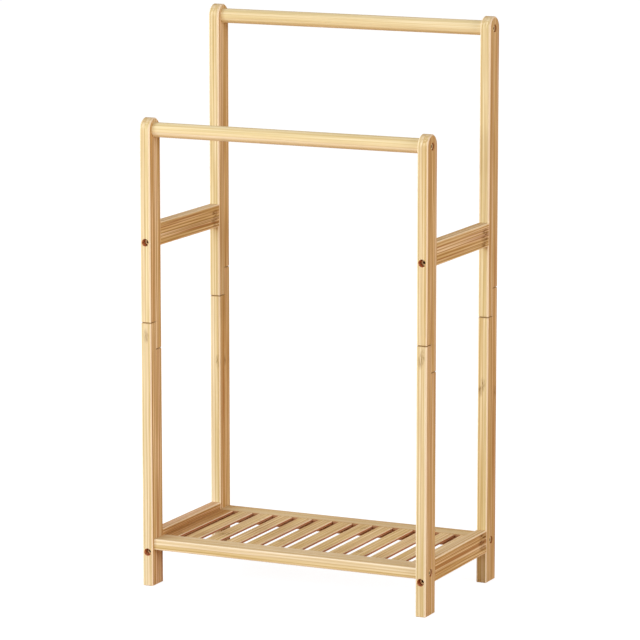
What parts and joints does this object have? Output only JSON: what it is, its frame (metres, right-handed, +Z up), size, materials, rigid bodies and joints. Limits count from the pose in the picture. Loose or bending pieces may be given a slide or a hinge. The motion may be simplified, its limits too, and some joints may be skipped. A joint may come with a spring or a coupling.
{
  "type": "towel rack",
  "caption": "Free-standing towel rack with a low front bar and a high back bar on half-lapped legs, side rails and a slatted bottom shelf.",
  "frame": {"origin": "on the floor under the middle of the rack", "axes": "+Z up; +X to the rack's right, along the bars; -Y to the front, where the lower bar is"},
  "size_m": [0.42, 0.24, 0.775],
  "materials": {
    "bamboo_leg": "satin clear lacquer on laminated bamboo",
    "bamboo_rail": "satin clear lacquer on laminated bamboo",
    "bamboo_bar": "satin clear lacquer on laminated bamboo",
    "bamboo_shelf_rail": "satin clear lacquer on laminated bamboo",
    "bamboo_slat": "satin clear lacquer on laminated bamboo",
    "screw": "satin brass plated",
    "dowel": "raw"
  },
  "bodies": {
    "root": {"front_left_lower_leg": "bamboo_leg", "front_left_upper_leg": "bamboo_leg", "front_right_lower_leg": "bamboo_leg", "front_right_upper_leg": "bamboo_leg", "back_left_lower_leg": "bamboo_leg", "back_left_upper_leg": "bamboo_leg", "back_right_lower_leg": "bamboo_leg", "back_right_upper_leg": "bamboo_leg", "left_upper_rail": "bamboo_rail", "left_lower_rail": "bamboo_rail", "right_upper_rail": "bamboo_rail", "right_lower_rail": "bamboo_rail", "front_bar": "bamboo_bar", "back_bar": "bamboo_bar", "front_shelf_rail": "bamboo_shelf_rail", "back_shelf_rail": "bamboo_shelf_rail", "slat_01": "bamboo_slat", "slat_02": "bamboo_slat", "slat_03": "bamboo_slat", "slat_04": "bamboo_slat", "slat_05": "bamboo_slat", "slat_06": "bamboo_slat", "slat_07": "bamboo_slat", "slat_08": "bamboo_slat", "slat_09": "bamboo_slat", "slat_10": "bamboo_slat", "slat_11": "bamboo_slat", "slat_12": "bamboo_slat", "slat_13": "bamboo_slat", "rail_screws": "screw", "bar_screws": "screw", "shelf_screws": "screw", "lap_screws": "screw", "rail_dowels": "dowel"}
  },
  "joints": []
}
